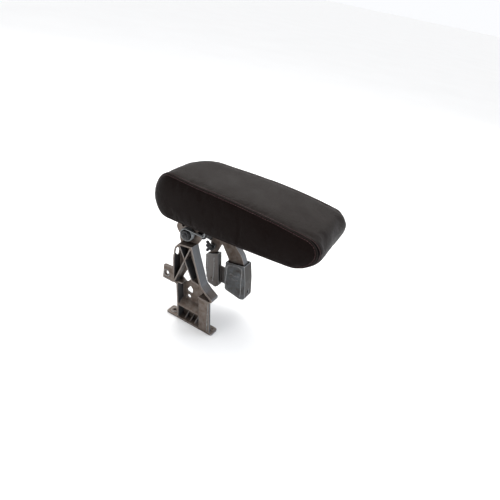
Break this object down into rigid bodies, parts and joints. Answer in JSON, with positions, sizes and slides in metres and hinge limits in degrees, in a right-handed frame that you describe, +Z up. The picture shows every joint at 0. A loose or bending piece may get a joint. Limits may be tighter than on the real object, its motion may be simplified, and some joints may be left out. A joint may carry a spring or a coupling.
{
  "type": "centre console armrest",
  "caption": "Padded console armrest lid with rounded ends, hinged at the rear on two cast metal side frames with a ratchet, a torsion spring and bolt-down feet",
  "frame": {"origin": "Centre of the bounding box in X and Y, on the underside of the near side frame's foot (z = 0)", "axes": "+X is the pad's free front end, +Y runs from the near side frame to the far side frame, +Z is up"},
  "size_m": [0.326, 0.1438, 0.308],
  "materials": {
    "pad_leather": "fine grain, satin",
    "cast_alloy": "as cast, dark brown-grey, satin",
    "plated_steel": "zinc plated, grey, semi-gloss",
    "black_steel": "black coated, satin",
    "bright_steel": "plated, semi-gloss",
    "black_plastic": "moulded, matte",
    "bushing_plastic": "moulded, natural"
  },
  "bodies": {
    "bracket": {"near_side_frame": "cast_alloy", "far_side_frame": "cast_alloy", "far_base_bracket": "plated_steel", "hinge_axle": "bright_steel", "axle_clip": "black_steel", "spring_sleeve": "black_plastic", "spacer_sleeve": "bright_steel", "torsion_spring": "bright_steel", "shoe_bolt_front": "bright_steel", "shoe_bolt_rear": "bright_steel", "pawl_pin": "bright_steel", "pawl_spring": "bright_steel"},
    "armrest": {"pad_cushion": "pad_leather", "pad_carrier": "black_plastic", "hinge_arm": "black_steel", "hinge_tube": "black_steel", "near_arm_bushing": "bushing_plastic", "far_arm_bushing": "bushing_plastic", "ratchet_sector": "black_steel", "stop_pin": "bright_steel", "sector_rivet_1": "bright_steel", "sector_rivet_2": "bright_steel", "arm_screw_1": "bright_steel", "arm_screw_2": "bright_steel", "arm_screw_3": "bright_steel", "arm_screw_4": "bright_steel"},
    "pawl": {"ratchet_pawl": "cast_alloy"}
  },
  "joints": [
    {"name": "armrest_hinge", "type": "hinge", "parent": "bracket", "child": "armrest", "pos_m": [-0.091, 0, 0.1955], "axis": [0, -1, 0], "range_deg": [0, 50]},
    {"name": "pawl_pivot", "type": "hinge", "parent": "bracket", "child": "pawl", "pos_m": [-0.08, 0.0333, 0.136], "axis": [0, -1, 0], "range_deg": [-10, 8], "stiffness_Nm_per_rad": 0.02}
  ]
}
